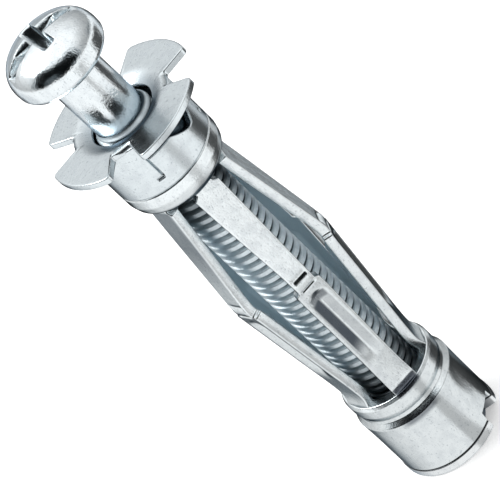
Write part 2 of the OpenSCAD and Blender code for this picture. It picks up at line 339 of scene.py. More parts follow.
def makeZincGroup(look):
    group = bpy.data.node_groups.new("zincPlate", "ShaderNodeTree")
    vector, color, number = "NodeSocketVector", "NodeSocketColor", "NodeSocketFloat"
    sockets = {"Vector": vector, "Tint": color, "Grain": number, "Mottle": number, "Roughness": number,
               "Spread": number, "Relief": number}
    for name, kind in sockets.items():
        group.interface.new_socket(name, in_out="INPUT", socket_type=kind)
    for name, kind in {"Color": color, "Roughness": number, "Normal": vector}.items():
        group.interface.new_socket(name, in_out="OUTPUT", socket_type=kind)
    entry = group.nodes.new("NodeGroupInput")
    leave = group.nodes.new("NodeGroupOutput")

    def noise(scale, detail):
        node = group.nodes.new("ShaderNodeTexNoise")
        group.links.new(entry.outputs["Vector"], node.inputs["Vector"])
        group.links.new(scale, node.inputs["Scale"])
        node.inputs["Detail"].default_value = detail
        node.inputs["Roughness"].default_value = look["noiseRoughness"]
        return node.outputs[0]

    grain = noise(entry.outputs["Grain"], 3.0)
    mottle = noise(entry.outputs["Mottle"], 4.0)
    wave = noise(product(group, entry.outputs["Mottle"], look["waveScale"]), 2.0)
    shade = entry.outputs["Tint"]
    for name, value in (("mottle", mottle), ("fleck", grain), ("pit", grain)):
        limits, share, color = look[name]
        shade = colorMix(group, product(group, ramp(group, value, *limits), share), shade, color)
    group.links.new(shade, leave.inputs["Color"])
    uneven = product(group, calc(group, "SUBTRACT", mottle, look["evenMottle"]), entry.outputs["Spread"])
    roughness = calc(group, "ADD", entry.outputs["Roughness"], uneven, clamp=True)
    group.links.new(roughness, leave.inputs["Roughness"])
    height = 0.0
    for value, share in zip((grain, mottle, wave), look["heights"]):
        height = calc(group, "ADD", product(group, value, share), height)
    bump = group.nodes.new("ShaderNodeBump")
    bump.inputs["Strength"].default_value = 1.0
    group.links.new(entry.outputs["Relief"], bump.inputs["Distance"])
    group.links.new(height, bump.inputs["Height"])
    group.links.new(bump.outputs["Normal"], leave.inputs["Normal"])
    return group


zincGroup = makeZincGroup(plateLook)

# The painted shade and dulling of each finish, one after the other. A patch is the product of soft limits on
# x, y, depth below
# the flange and radius in mm, heading in degrees, and lean, the dot product of the normal and the direction
# away from the axis. Two limits are where the patch is gone and where it is full, a third is what it keeps
# where it is gone, and four are where it starts, is full, fades and ends. Within holds limits for all patches
# of a shade, and the strongest patch counts.
# painted shadow in the seam between the collar's end and the nut
seamShadow = {"color": (0.02, 0.025, 0.03), "patches": (
    {"depth": (47.86, 47.95, 48.05, 48.12), "share": 0.93},)}
# painted shade on the floor of the notch, in the collar and in the nut
notchFloor = {"color": (0.03, 0.035, 0.045), "patches": (
    {"heading": (33, 36, 64, 67), "depth": (46.9, 47.0), "radius": (5.1, 4.9), "share": 0.9},)}
zincShades = {
    "screwZinc": (
        # painted shade: the plain shank is darker and bluer where it goes into the hole
        {"color": (0.42, 0.50, 0.55), "patches": ({"depth": (-2.3, -1.3, 0.6, 0.8), "share": 0.5},)},
    ),
    "sleeveZinc": (
        # faces that look towards the axis get little light
        {"color": (0.50, 0.63, 0.70), "dull": 0.30, "patches": ({"lean": (-0.35, -0.75)},)},
        # the neck inside the cap lies in its shade
        {"color": (0.05, 0.07, 0.085), "patches": (
            {"radius": (4.50, 4.42), "depth": (7.5, 6.0), "heading": (-50, -30, 0.35)},)},
        # painted shade in the stamped channel of the front leg: its left wall, its upper end and its right
        # wall
        {"color": (0.05, 0.065, 0.085), "dull": 0.08, "share": 0.93, "within": {"y": (-3.3, -3.6)},
         "patches": (
            {"x": (-1.02, -0.86, -0.12, 0.04), "depth": (24.0, 24.8, 30.6, 33.6)},
            {"x": (-0.95, -0.7, 0.75, 1.0), "depth": (23.65, 23.95, 24.5, 25.1), "share": 0.75},
            {"x": (0.12, 0.22, 0.85, 1.0), "depth": (24.0, 25.2, 31.5, 34.0), "share": 0.3})},
        # painted shade on the outer face of the left leg, in its upper half
        {"color": (0.18, 0.20, 0.22), "share": 0.62, "patches": (
            {"heading": (-100, -90, -58, -48), "depth": (8.9, 9.2, 13.0, 21.0), "lean": (0.5, 0.8)},)},
        # painted shade under the front leg's foot, below the shoulder and on the top ring
        {"color": (0.07, 0.085, 0.11), "share": 0.92, "within": {"y": (-2.6, -3.2)}, "patches": (
            {"x": (-1.55, -1.3, 1.0, 1.45), "depth": (37.7, 37.85, 38.45, 38.95)},
            {"x": (-3.3, -2.2, 0.4, 1.4), "depth": (40.9, 41.1, 41.45, 42.1), "share": 0.75},
            {"x": (-1.3, -0.2, 0.9, 2.1), "depth": (7.3, 8.1, 8.4, 8.65), "share": 0.62})},
        seamShadow,
        notchFloor,
    ),
    "threadZinc": (
        # painted shade in the roots
        {"color": (0.04, 0.06, 0.075), "patches": ({"radius": (2.68, 2.46)},)},
        # the rings at both ends of the legs keep the light out
        {"color": (0.03, 0.045, 0.055), "share": 0.72, "patches": (
            {"depth": (7.0, 8.0, 10.0, 14.5)}, {"depth": (33.0, 37.5)})},
        # the right side is only duller
        {"dull": 0.14, "patches": ({"heading": (16, 28, 80, 100)},)},
    ),
    "nutZinc": (seamShadow, notchFloor),
    "capZinc": (
        # painted shade on the sheet that is drawn down round the hole
        {"color": (0.36, 0.43, 0.48), "patches": ({"radius": (4.7, 3.2), "share": 0.62},)},
    ),
}


def measuresOf(tree, vector):
    split = tree.nodes.new("ShaderNodeSeparateXYZ")
    tree.links.new(vector, split.inputs[0])
    x, y, z = (calc(tree, "DIVIDE", split.outputs[axis], mm) for axis in "XYZ")
    radius, flat, _ = radiusOf(tree, vector)
    geometry = tree.nodes.new("ShaderNodeNewGeometry")
    dot = tree.nodes.new("ShaderNodeVectorMath")
    dot.operation = "DOT_PRODUCT"
    tree.links.new(geometry.outputs["Normal"], dot.inputs[0])
    tree.links.new(flat, dot.inputs[1])
    return {"x": x, "y": y, "depth": calc(tree, "SUBTRACT", flangeTop, z),
            "radius": calc(tree, "DIVIDE", radius, mm), "heading": headingOf(tree, vector)[0],
            "lean": calc(tree, "DIVIDE", dot.outputs["Value"], radius)}


def maskOf(tree, measures, patch):
    mask = patch.get("share", 1.0)
    for name, measure in measures.items():
        if name in patch:
            soft = window if len(patch[name]) == 4 else ramp
            mask = product(tree, soft(tree, measure, *patch[name]), mask)
    return mask


def makeZinc(name, values, look, shades):
    material = bpy.data.materials.new(name)
    material.use_nodes = True
    tree = material.node_tree
    shader = tree.nodes["Principled BSDF"]
    place = tree.nodes.new("ShaderNodeTexCoord")
    mapping = tree.nodes.new("ShaderNodeMapping")
    mapping.inputs["Scale"].default_value = values["stretch"]
    tree.links.new(place.outputs["Object"], mapping.inputs["Vector"])
    plate = tree.nodes.new("ShaderNodeGroup")
    plate.node_tree = zincGroup
    tree.links.new(mapping.outputs["Vector"], plate.inputs["Vector"])
    plate.inputs["Tint"].default_value = (*values["tint"], 1.0)
    for key in ("grain", "mottle", "roughness", "spread", "relief"):
        plate.inputs[key.capitalize()].default_value = values[key]
    color = plate.outputs["Color"]
    dull = values["dull"]
    measures = measuresOf(tree, place.outputs["Object"])
    for shade in shades:
        mask = largest(tree, *(maskOf(tree, measures, patch) for patch in shade["patches"]))
        mask = product(tree, mask, maskOf(tree, measures, shade.get("within", {})), shade.get("share", 1.0))
        if "color" in shade:
            color = colorMix(tree, mask, color, shade["color"])
        if "dull" in shade:
            dull = calc(tree, "ADD", product(tree, mask, shade["dull"]), dull)
    # towards the outline, where the plate is seen edge on, its colour is darkened with painted shade
    facing = tree.nodes.new("ShaderNodeLayerWeight")
    facing.inputs["Blend"].default_value = 0.5
    edge = ramp(tree, facing.outputs["Facing"], look["rimShadeFrom"], 1.0, 0.0, values["rim"])
    color = colorMix(tree, edge, color, look["rimShadeColor"])
    tree.links.new(color, shader.inputs["Base Color"])
    shader.inputs["Specular Tint"].default_value = (*values["outline"], 1.0)
    # where the plate is dull, it is rougher and scatters part of the light
    tree.links.new(calc(tree, "ADD", plate.outputs["Roughness"], dull), shader.inputs["Roughness"])
    tree.links.new(calc(tree, "SUBTRACT", 1.0, product(tree, dull, 2.0)), shader.inputs["Metallic"])
    tree.links.new(plate.outputs["Normal"], shader.inputs["Normal"])
    return material


zinc = {name: makeZinc(name, values, plateLook, zincShades[name]) for name, values in zincFinishes.items()}
print("zinc finishes made:", ", ".join(zinc))


# surfaces


def putPiece(name, shells, material, body):
    # shells is a list of (points in mm, quads), joined into one mesh whose coinciding points are merged
    starts = np.cumsum([0] + [len(points) for points, _ in shells[:-1]])
    points = np.concatenate([points for points, _ in shells]) * mm
    quads = np.concatenate([faces + start for (_, faces), start in zip(shells, starts)])
    mesh = bpy.data.meshes.new(name)
    mesh.from_pydata(points, [], quads)
    work = bmesh.new()
    work.from_mesh(mesh)
    bmesh.ops.remove_doubles(work, verts=work.verts, dist=0.0005 * mm)
    bmesh.ops.recalc_face_normals(work, faces=work.faces)
    work.to_mesh(mesh)
    work.free()
    mesh.shade_smooth()
    mesh.materials.append(material)
    piece = bpy.data.objects.new(name, mesh)
    bpy.context.scene.collection.objects.link(piece)
    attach(piece, body)
    return piece


def grid(points, wrap=False):
    # points[row, column, xyz] to a flat list of points and the quads between neighbours
    rows, columns = points.shape[:2]
    row = np.arange(rows - 1)[:, None]
    column = np.arange(columns if wrap else columns - 1)[None, :]
    after = (column + 1) % columns
    quads = np.stack([row * columns + column, row * columns + after,
                      (row + 1) * columns + after, (row + 1) * columns + column], -1)
    return points.reshape(-1, 3), quads.reshape(-1, 4)


def turned(radius, height, angles):
    # a point of the profile goes to (radius cos angle, radius sin angle, height)
    radius, height, angles = np.broadcast_arrays(radius, height, angles)
    return np.stack([radius * np.cos(angles), radius * np.sin(angles), height], -1)


def rounded(corners, closed=True, steps=5, support=0.04):
    # corners are (x, y, radius): each corner becomes an arc that touches both of its sides,
    # with one more point just outside each end of the arc, which keeps the sides flat in shading
    corners = np.array(corners, float)
    line = []
    count = len(corners)
    for index, (x, y, radius) in enumerate(corners):
        here = np.array([x, y])
        if radius <= 0 or (not closed and index in (0, count - 1)):
            line.append(here[None])
            continue
        before = corners[index - 1, :2] - here
        after = corners[(index + 1) % count, :2] - here
        reachBefore, reachAfter = np.hypot(*before), np.hypot(*after)
        before, after = before / reachBefore, after / reachAfter
        half = np.arccos(np.clip(before @ after, -1, 1)) / 2
        if half > 1.56:  # the line goes straight on here
            line.append(here[None])
            continue
        cut = min(radius / np.tan(half), 0.45 * reachBefore, 0.45 * reachAfter)
        radius = cut * np.tan(half)
        centre = here + (before + after) / np.linalg.norm(before + after) * radius / np.sin(half)
        start, end = here + before * cut - centre, here + after * cut - centre
        sweep = np.pi - 2 * half
        turn = np.linspace(0, 1, steps + 1)[:, None]
        arc = (np.sin((1 - turn) * sweep) * start + np.sin(turn * sweep) * end) / np.sin(sweep) + centre
        extra = min(support, 0.2 * (reachBefore - cut), 0.2 * (reachAfter - cut))
        line.append(np.concatenate([[here + before * (cut + extra)], arc, [here + after * (cut + extra)]]))
    return np.concatenate(line)


def bell(value, centre, width):
    return np.exp(-((value - centre) / width) ** 2)


def smooth(value, low, high):
    # rises from 0 at low to 1 at high, flat at both ends
    share = np.clip((value - low) / (high - low), 0, 1)
    return share * share * (3 - 2 * share)


# screw

screwShape = {
    "headRadius": 4.59,
    "headHeight": 4.05,
    "waist": 1.1,  # height of the widest place above the underside
    "domePower": 2.5,
    "topRadius": 4.3,  # the recess is cut within this radius
    "shankRadius": 2.50,
    "slotHalf": 0.56,
    "slotDeep": 1.3,
    "crossHalf": 0.66,
    "crossReach": 2.5,
    "crossFlat": 0.95,
    "crossDeep": 2.6,
    "slotTurn": 4.0,  # degrees from +X
    "edge": 0.09,  # width of a rounded recess edge
    "middle": 1.3,  # half width of the top's middle strip of quads
    "recessRim": 1.4,  # distance from the middle where finer rows end
    # radius, height above the seat, rounding
    "underLine": ((4.56, 0.55, 0.6), (4.30, 0.09, 0.3), (3.9, 0.055, 0.3)),
    "neckRound": 0.22,
    "neckDown": 1.0,  # how far below the seat the head's mesh goes on
    "pitch": 1.0,
    "crestRadius": 2.93,
    "rootRadius": 2.34,
    "crestShare": (0.24, 0.46),  # pitches from the crest's middle to its end and to the root's start
    "threadStart": 0.15,  # depth below the flange's top face
    "threadGrow": 0.55,  # length over which the thread grows out of the shank
    "tipChamfer": 0.6,
    "lean": (-0.13, -0.012),  # mm along X, and more for each mm above the flange
}
headBase = headTop - screwShape["headHeight"]


def domeHeight(radius, shape):
    share = np.clip(1 - (radius / shape["headRadius"]) ** 2, 0, 1)
    return shape["waist"] + (shape["headHeight"] - shape["waist"]) * share ** (1 / shape["domePower"])


def spread(edges, counts):
    # evenly divided stretches between the given edges
    parts = [np.linspace(a, b, n, endpoint=False) for a, b, n in zip(edges[:-1], edges[1:], counts)]
    return np.concatenate(parts + [[edges[-1]]])


def headShell(shape):
    # top: lines of constant y across a disc, whose ends meet the rings of the side,
    # with the height of the dome lowered to the slot's floor and the cross's sloping floor;
    # rows and columns lie closest at the walls of the recess
    top, wall = shape["topRadius"], shape["slotHalf"]
    soft = shape["edge"]
    stops = [0, wall - soft, wall + soft, shape["recessRim"], shape["crossReach"] + 0.25, top * 0.97, top]
    halfLine = spread(stops, [6, 8, 8, 12, 14, 8])
    tilt = np.arcsin(np.clip(halfLine / top, 0, 1))
    tilt = np.concatenate([-tilt[:0:-1], tilt])
    y = top * np.sin(tilt)
    half = top * np.cos(tilt)
    inner = np.minimum(shape["middle"], 0.42 * half)[:, None]
    crossWall = shape["crossHalf"] / shape["middle"]
    share = spread([0, crossWall - 0.07, crossWall + 0.07, 1.0], [5, 8, 8])
    outside = spread([0, 0.35, 0.75, 1.0], [10, 12, 12])
    rightX = np.concatenate([inner * share[None, :-1], inner + (half[:, None] - inner) * outside[None]], 1)
    x = np.concatenate([-rightX[:, :0:-1], rightX], 1)
    y = np.broadcast_to(y[:, None], x.shape)
    far = np.hypot(x, y)
    dome = domeHeight(far, shape)
    slotFloor = shape["headHeight"] - shape["slotDeep"]
    inSlot = smooth(wall + soft / 2 - np.abs(y), 0, soft)
    depth = np.minimum(slotFloor - dome, 0) * inSlot
    crossFloor = shape["headHeight"] - shape["crossDeep"]
    rimHeight = domeHeight(shape["crossReach"], shape)
    slope = (rimHeight - crossFloor) / (shape["crossReach"] - shape["crossFlat"])
    wedge = crossFloor + np.maximum(far - shape["crossFlat"], 0) * slope
    inCross = np.maximum(smooth(shape["crossHalf"] + soft / 2 - np.abs(x), 0, soft),
                         smooth(shape["crossHalf"] + soft / 2 - np.abs(y), 0, soft))
    depth = np.minimum(depth, np.minimum(wedge - dome, 0) * inCross)
    turn = math.radians(shape["slotTurn"])
    spun = np.stack([x * math.cos(turn) - y * math.sin(turn), x * math.sin(turn) + y * math.cos(turn),
                     headBase + dome + depth], -1)
    # side: rings through the same edge points, down the side, under the head and along the neck
    ringAngles = np.concatenate([tilt[1:-1], [np.pi / 2], np.pi - tilt[-2:0:-1], [-np.pi / 2]]) + turn
    drop = np.linspace(0, 1, 15)[1:]
    topHeight = domeHeight(top, shape)
    rise = topHeight + (shape["waist"] - topHeight) * drop
    level = np.clip((rise - shape["waist"]) / (shape["headHeight"] - shape["waist"]), 0, 1)
    side = np.stack([shape["headRadius"] * np.sqrt(1 - level ** shape["domePower"]), rise], -1)
    shank = shape["shankRadius"]
    under = rounded([(shape["headRadius"], shape["waist"], 0), *shape["underLine"],
                     (shank, shape["underLine"][-1][1], shape["neckRound"]),
                     (shank, -shape["neckDown"], 0)], closed=False)
    profile = np.concatenate([[[top, topHeight]], side, under[1:]])
    rings = turned(profile[:, :1], headBase + profile[:, 1:], ringAngles[None])
    return [grid(spun), grid(rings, wrap=True)]


def threadShell(shape):
    # rows follow the helix: the height of a row falls by one pitch in a turn, clipped at both ends,
    # and the radius swings between root and crest with the place inside the pitch
    pitch = shape["pitch"]
    start = flangeTop - shape["threadStart"]
    columns = 96
    # rows within a pitch, as shares of it
    inPitch = np.array([0.0, 0.08, 0.16, 0.22, 0.28, 0.34, 0.42, 0.58, 0.66, 0.72, 0.78, 0.84, 0.92])
    turns = int(np.ceil((start - screwTip) / pitch)) + 1
    drop = (np.arange(turns)[:, None] + inPitch[None]).ravel() * pitch
    angles = np.linspace(0, 2 * np.pi, columns + 1)
    height = start + pitch - drop[:, None] - pitch * angles[None] / (2 * np.pi)
    phase = np.mod(drop / pitch, 1.0)[:, None]
    fromCrest = np.abs(phase - 0.5)
    lift = 1 - smooth(fromCrest, *shape["crestShare"])
    height = np.clip(height, screwTip, start)
    grow = smooth(start - height, 0.0, shape["threadGrow"])
    root, crest, shank = shape["rootRadius"], shape["crestRadius"], shape["shankRadius"]
    radius = shank + (root + (crest - root) * lift - shank) * grow
    chamfer = shape["tipChamfer"]
    radius = np.minimum(radius, crest - chamfer + (height - screwTip))
    body = turned(radius, height, angles[None])
    neckHeight = [[headBase - shape["neckDown"]], [(headBase + start) / 2], [start]]
    neck = turned(shank, np.array(neckHeight), angles[None])
    end = turned(np.array([[crest - chamfer], [0.0]]), np.array([[screwTip], [screwTip]]), angles[None])
    return [grid(neck), grid(np.concatenate([body, end]))]


def leaned(shells, shape):
    # the screw stands slightly beside the axis
    shift, more = shape["lean"]
    for points, _ in shells:
        points[:, 0] += shift + more * np.maximum(points[:, 2] - flangeTop, 0)
    return shells


headParts = leaned(headShell(screwShape), screwShape)
shankPart, threadPart = leaned(threadShell(screwShape), screwShape)
screwHead = putPiece("screwHead", headParts, zinc["screwZinc"], "screw")
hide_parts("screw")
putPiece("screwShank", [shankPart], zinc["screwZinc"], "screw")
putPiece("screwThread", [threadPart], zinc["threadZinc"], "screw")
print("screw made")


# sleeve

sleeveShape = {
    "sheet": 0.96,
    "legs": 5,
    "front": -90.0,  # degrees, direction of the first leg
    "edge": 0.13,  # rounded edge of the sheet
    # depth below the flange, outer radius of the leg
    "legLine": ((8.35, 4.00), (9.3, 4.08), (12.0, 4.45), (20.3, 5.56), (21.0, 5.64), (21.8, 5.73),
                (22.5, 5.66), (23.3, 5.57), (35.4, 4.38), (36.8, 4.28), (37.5, 4.31), (37.9, 4.44),
                (38.4, 4.62), (38.9, 4.60), (39.2, 4.50)),
    # depth below the flange, half of the leg's width
    "legHalf": ((8.35, 0.80), (8.95, 0.98), (9.25, 1.44), (12.0, 1.36), (20.2, 1.04), (22.35, 1.02),
                (22.55, 1.38), (23.2, 1.42), (33.0, 1.33), (36.4, 1.34), (38.0, 1.38), (39.2, 1.42)),
    # depths from, to, and number of rows between them
    "rows": ((8.35, 39.2, 60), (8.9, 9.5, 9), (20.2, 24.9, 60), (31.5, 34.0, 14), (36.0, 39.2, 22)),
    "bend": 0.6,  # length of the moving average that bends the leg
    "backExtra": 0.55,  # the legs at the back are wider by this on each side
    "backEnds": (9.3, 12.0, 34.0, 37.0),  # depths where that starts, is full, fades and ends
    # depth below the flange, how far the front leg lies to the right of its middle
    "frontLean": ((9.0, 0.16), (20.0, 0.12), (24.0, 0.07), (36.0, -0.09)),
    "channelTop": 24.3,
    "channelFoot": 31.6,
    "channelRun": 2.6,  # length over which the channel's lower end runs out
    "channelHalf": 0.98,
    "channelSlope": 0.58,
    "channelRound": 0.13,
    "channelSoft": 0.035,  # rounding of the channel's upper edge
    "channelRim": (1.38, 0.15),  # half width where the channel has to end, and over what width it does
    # depth, width, lift in mm
    "creaseMarks": ((21.05, 0.24, -0.12), (21.75, 0.30, 0.05), (22.45, 0.12, -0.12)),
    "markRim": (0.88, 0.2),  # the same for the marks
}


def legShell(shape, degrees):
    # a rounded rectangle carried along the leg: across it runs the width, inwards the sheet's thickness
    line = np.array(shape["legLine"])
    halves = np.array(shape["legHalf"])
    depth = np.unique(np.round(np.concatenate([np.linspace(*row) for row in shape["rows"]]), 3))
    # a moving average turns the line's corners into bends, and the width's within a quarter of the length
    lag = np.linspace(-0.5, 0.5, 13) * shape["bend"]
    outer = np.interp(depth[:, None] + lag, line[:, 0], line[:, 1]).mean(1)
    half = np.interp(depth[:, None] + lag * 0.25, halves[:, 0], halves[:, 1]).mean(1)
    if math.sin(math.radians(degrees)) > 0.3:  # a leg at the back
        start, full, fade, end = shape["backEnds"]
        half = half + shape["backExtra"] * smooth(depth, start, full) * (1 - smooth(depth, fade, end))
    slope = np.gradient(outer, -depth)  # radius gained for each millimetre upwards
    tilt = np.arctan(slope)[:, None]
    edge, sheet = shape["edge"], shape["sheet"]
    ring = np.linspace(0, np.pi / 2, 5)
    flat = np.linspace(-1, 1, 33)
    corner = np.stack([np.sin(ring), np.cos(ring)], -1)  # from the outer face to the right side
    # section: (share of the flat half width, corner offset across, offset inwards)
    outerFace = np.stack([flat, 0 * flat, 0 * flat], -1)
    rightTop = np.stack([np.ones(5), edge * corner[:, 0], edge * (1 - corner[:, 1])], -1)[1:]
    rightFoot = np.stack([np.ones(5), edge * corner[::-1, 0], sheet - edge * (1 - corner[::-1, 1])], -1)
    innerFace = np.stack([flat[::-1], 0 * flat, sheet + 0 * flat], -1)[1:-1]
    leftFoot = rightFoot[::-1] * (-1, -1, 1)
    leftTop = rightTop[::-1] * (-1, -1, 1)
    section = np.concatenate([outerFace, rightTop, rightFoot, innerFace, leftFoot, leftTop])
    across = section[None, :, 0] * (half[:, None] - edge) + section[None, :, 1]
    inwards = np.broadcast_to(section[None, :, 2], across.shape).copy()
    # channel: two straight walls that meet in a rounded bottom, with a half round upper end
    # and a lower end that runs out gently
    above = np.maximum(shape["channelTop"] - depth, 0)[:, None]
    off = np.sqrt(across ** 2 + above ** 2 + shape["channelRound"] ** 2) - shape["channelRound"]
    run = 1 - smooth(depth, shape["channelFoot"] - 0.3, shape["channelFoot"] + shape["channelRun"])[:, None]
    fall = (shape["channelHalf"] - shape["channelRound"] - off) * shape["channelSlope"] * run
    fall = (fall + np.sqrt(fall ** 2 + shape["channelSoft"] ** 2)) / 2
    rim, rimSoft = shape["channelRim"]
    inwards = inwards + fall * smooth(rim - np.abs(across), 0, rimSoft)
    # marks pressed across the crease
    rim, rimSoft = shape["markRim"]
    for centre, width, lift in shape["creaseMarks"]:
        mark = bell(depth, centre, width)[:, None] * smooth(rim - np.abs(across), 0, rimSoft)
        inwards = inwards - lift * mark * (section[None, :, 2] < sheet / 2)
    radius = outer[:, None] - inwards * np.cos(tilt)
    height = flangeTop - depth[:, None] + inwards * np.sin(tilt)
    if degrees == shape["front"]:
        lean = np.array(shape["frontLean"])
        across = across + np.interp(depth, lean[:, 0], lean[:, 1])[:, None]
    angle = math.radians(degrees)
    points = np.stack([radius * math.cos(angle) - across * math.sin(angle),
                       radius * math.sin(angle) + across * math.cos(angle), height], -1)
    return grid(points, wrap=True)


topRing = {
    "angles": 144,
    # radius, depth below the flange, rounding
    "profile": ((4.385, 0.68, 0.1), (4.385, 5.87, 0.05), (5.075, 5.87, 0.22), (5.075, 7.1, 0.9),
                (4.86, 8.0, 0.9), (4.12, 8.75, 0.14), (3.30, 8.75, 0.14), (3.52, 7.0, 0.4),
                (3.52, 0.68, 0.1)),
}


def ringShell(values):
    line = rounded(values["profile"])
    line = np.concatenate([line, line[:1]])
    angles = np.linspace(0, 2 * np.pi, values["angles"], endpoint=False)
    return grid(turned(line[:, :1], flangeTop - line[:, 1:], angles[None]), wrap=True)


tailShape = {
    # radius, depth below the flange, rounding
    "profile": ((3.85, 38.3, 0.1), (4.78, 38.3, 0.14), (4.95, 38.7, 0.28), (4.95, 39.75, 0.5),
                (4.74, 40.45, 0.45), (4.80, 40.8, 0.2), (5.25, 41.25, 0.25), (5.22, 41.9, 0.6),
                (5.20, 43.4, 1.5), (5.20, 46.6, 0.0), (5.20, 48.0, 0.12), (4.41, 48.0, 0.1),
                (4.41, 46.6, 0.0), (4.41, 41.35, 0.05), (4.07, 40.8, 0.2), (3.85, 39.6, 0.3)),
    "notchTop": 47.05,
    "notchAngle": -43.5,
    "notchHalf": 15.2,  # degrees
    "notchSoft": 0.9,  # degrees over which its sides rise, on each side of the half width
    "collarEnd": 48.0,
    "collarWhole": 46.6,  # depth down to which the notch leaves the collar as it is
    "dentsFrom": 41.5,
    # angle in CAD degrees, depth, width in degrees, width in depth, push in mm
    "dents": ((-46.0, 44.4, 9.0, 2.0, -0.22), (-72.0, 45.4, 12.0, 1.6, -0.05),
              (-118.0, 43.4, 18.0, 2.2, -0.06), (-98.0, 42.3, 14.0, 0.7, -0.07),
              (150.0, 44.8, 24.0, 2.0, -0.06), (60.0, 43.5, 20.0, 1.8, -0.05),
              (-88.0, 44.6, 7.0, 2.4, 0.04), (-140.0, 45.5, 8.0, 1.6, 0.03), (20.0, 45.0, 14.0, 1.5, 0.03)),
}


def notchShare(degrees, values):
    away = np.abs((degrees - values["notchAngle"] + 180) % 360 - 180)
    half, soft = values["notchHalf"], values["notchSoft"]
    return 1 - smooth(away, half - soft, half + soft)


def notchAngles(values, count=144):
    # even angles with more of them at the sides of the notch
    even = np.arange(count) * 360 / count
    near = np.linspace(-1.2, 1.2, 9)
    sides = [(values["notchAngle"] + side * values["notchHalf"] + near) % 360 for side in (-1, 1)]
    return np.unique(np.round(np.concatenate([even, *sides]), 3))


def tailShell(values):
    # the collar's lower end rises to the notch's top where the notch is, and shallow bells push the wall in
    line = rounded(values["profile"])
    line = np.concatenate([line, line[:1]])
    degrees = notchAngles(values)[None]
    radius = np.repeat(line[:, :1], degrees.size, 1)
    depth = np.repeat(line[:, 1:], degrees.size, 1)
    whole, full = values["collarWhole"], values["collarEnd"]
    end = full + (values["notchTop"] - full) * notchShare(degrees, values)
    depth = np.where(depth > whole, whole + (depth - whole) * (end - whole) / (full - whole), depth)
    for centre, low, wide, tall, push in values["dents"]:
        away = (degrees - centre + 180) % 360 - 180
        dent = push * bell(away, 0, wide) * bell(depth, low, tall)
        radius = radius + dent * (depth > values["dentsFrom"])
    return grid(turned(radius, flangeTop - depth, np.radians(degrees)), wrap=True)


sleeveShells = [ringShell(topRing), tailShell(tailShape)]
for index in range(sleeveShape["legs"]):
    sleeveShells.append(legShell(sleeveShape, sleeveShape["front"] + 360 / sleeveShape["legs"] * index))
sleeve = putPiece("sleeveBody", sleeveShells, zinc["sleeveZinc"], "anchor")
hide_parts("sleeve")
print("sleeve made")


# nut

nutShape = {
    # radius, depth below the flange, rounding
    "profile": ((3.0, 49.0, 0.12), (5.27, 49.0, 0.28), (5.27, 48.03, 0.10), (4.38, 48.03, 0.0),
                (4.38, 41.6, 0.2), (3.0, 41.6, 0.2)),
    "notchFloor": 3.9,
}


def nutShell(values):
    # the flange's rim steps back to the notch's floor where the notch is
    line = rounded(values["profile"])
    line = np.concatenate([line, line[:1]])
    degrees = notchAngles(tailShape)[None]
    radius = np.repeat(line[:, :1], degrees.size, 1)
    depth = np.repeat(line[:, 1:], degrees.size, 1)
    floor = values["notchFloor"]
    cut = notchShare(degrees, tailShape) * (depth > tailShape["notchTop"])
    radius = np.where(radius > floor, radius + (floor - radius) * cut, radius)
    return grid(turned(radius, flangeTop - depth, np.radians(degrees)), wrap=True)


nut = putPiece("endNut", [nutShell(nutShape)], zinc["nutZinc"], "anchor")
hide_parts("nut")
print("nut made")


# flange cap

capShape = {
    "sheet": 0.65,
    "flange": 7.69,
    "skirt": 5.075,
    "hole": 3.25,
    "drawn": 0.544,  # how far the sheet would be drawn down at the inner of the next two radii
    "drawnFrom": 2.75,
    "drawnTo": 4.75,
    "gaps": 4,
    "firstGap": 67.5,
    "gapMouth": 2.15,  # half widths
    "gapRoot": 0.95,
    "frontInset": 1.0,  # how much less the front gap is cut on its right side
    "corner": 0.5,  # rounding of the petals' corners
    "rootCorner": 0.3,
    "arcStart": 7.0,  # degrees from a petal's corner to the first point of its arc
    "edge": 0.12,  # rounding of the upper edge
    "underEdge": 0.07,
    "bend": 0.55,  # rounding of the upper edge inside the gaps
    "bendSoft": (-0.25, 0.12),  # mm from the gap's root width where that starts to fade and is gone
    "rim": 5.85,  # depth of the skirt's lower rim
    "windowStart": 5.5,  # degrees from the middle of a gap
    "windowAngle": 70.0,  # width in degrees of the front window
    # degrees from the front window's start, depth of its sill
    "windowLine": ((0.0, 2.35), (30.0, 2.4), (38.0, 2.95), (46.0, 3.4), (54.0, 3.75), (60.0, 3.75),
                   (66.0, 3.3), (70.0, 2.6)),
    "otherWindows": (50.0, 2.35),  # degrees wide, depth of the sill
    "wallTop": 0.45,  # depth of the wall's top where there is no window
    "slitFoot": 4.6,
    "slitHook": 8.0,  # degrees
    "slitDeep": 0.30,
    "slitWide": 0.075,
    "hookWide": 0.09,
    "slitLift": 0.05,  # the strip beside the slit stands out by this
    "soften": 0.06,  # chamfer of the wall's rims
}
frontGap = 2  # number of the gap between petals that faces the camera


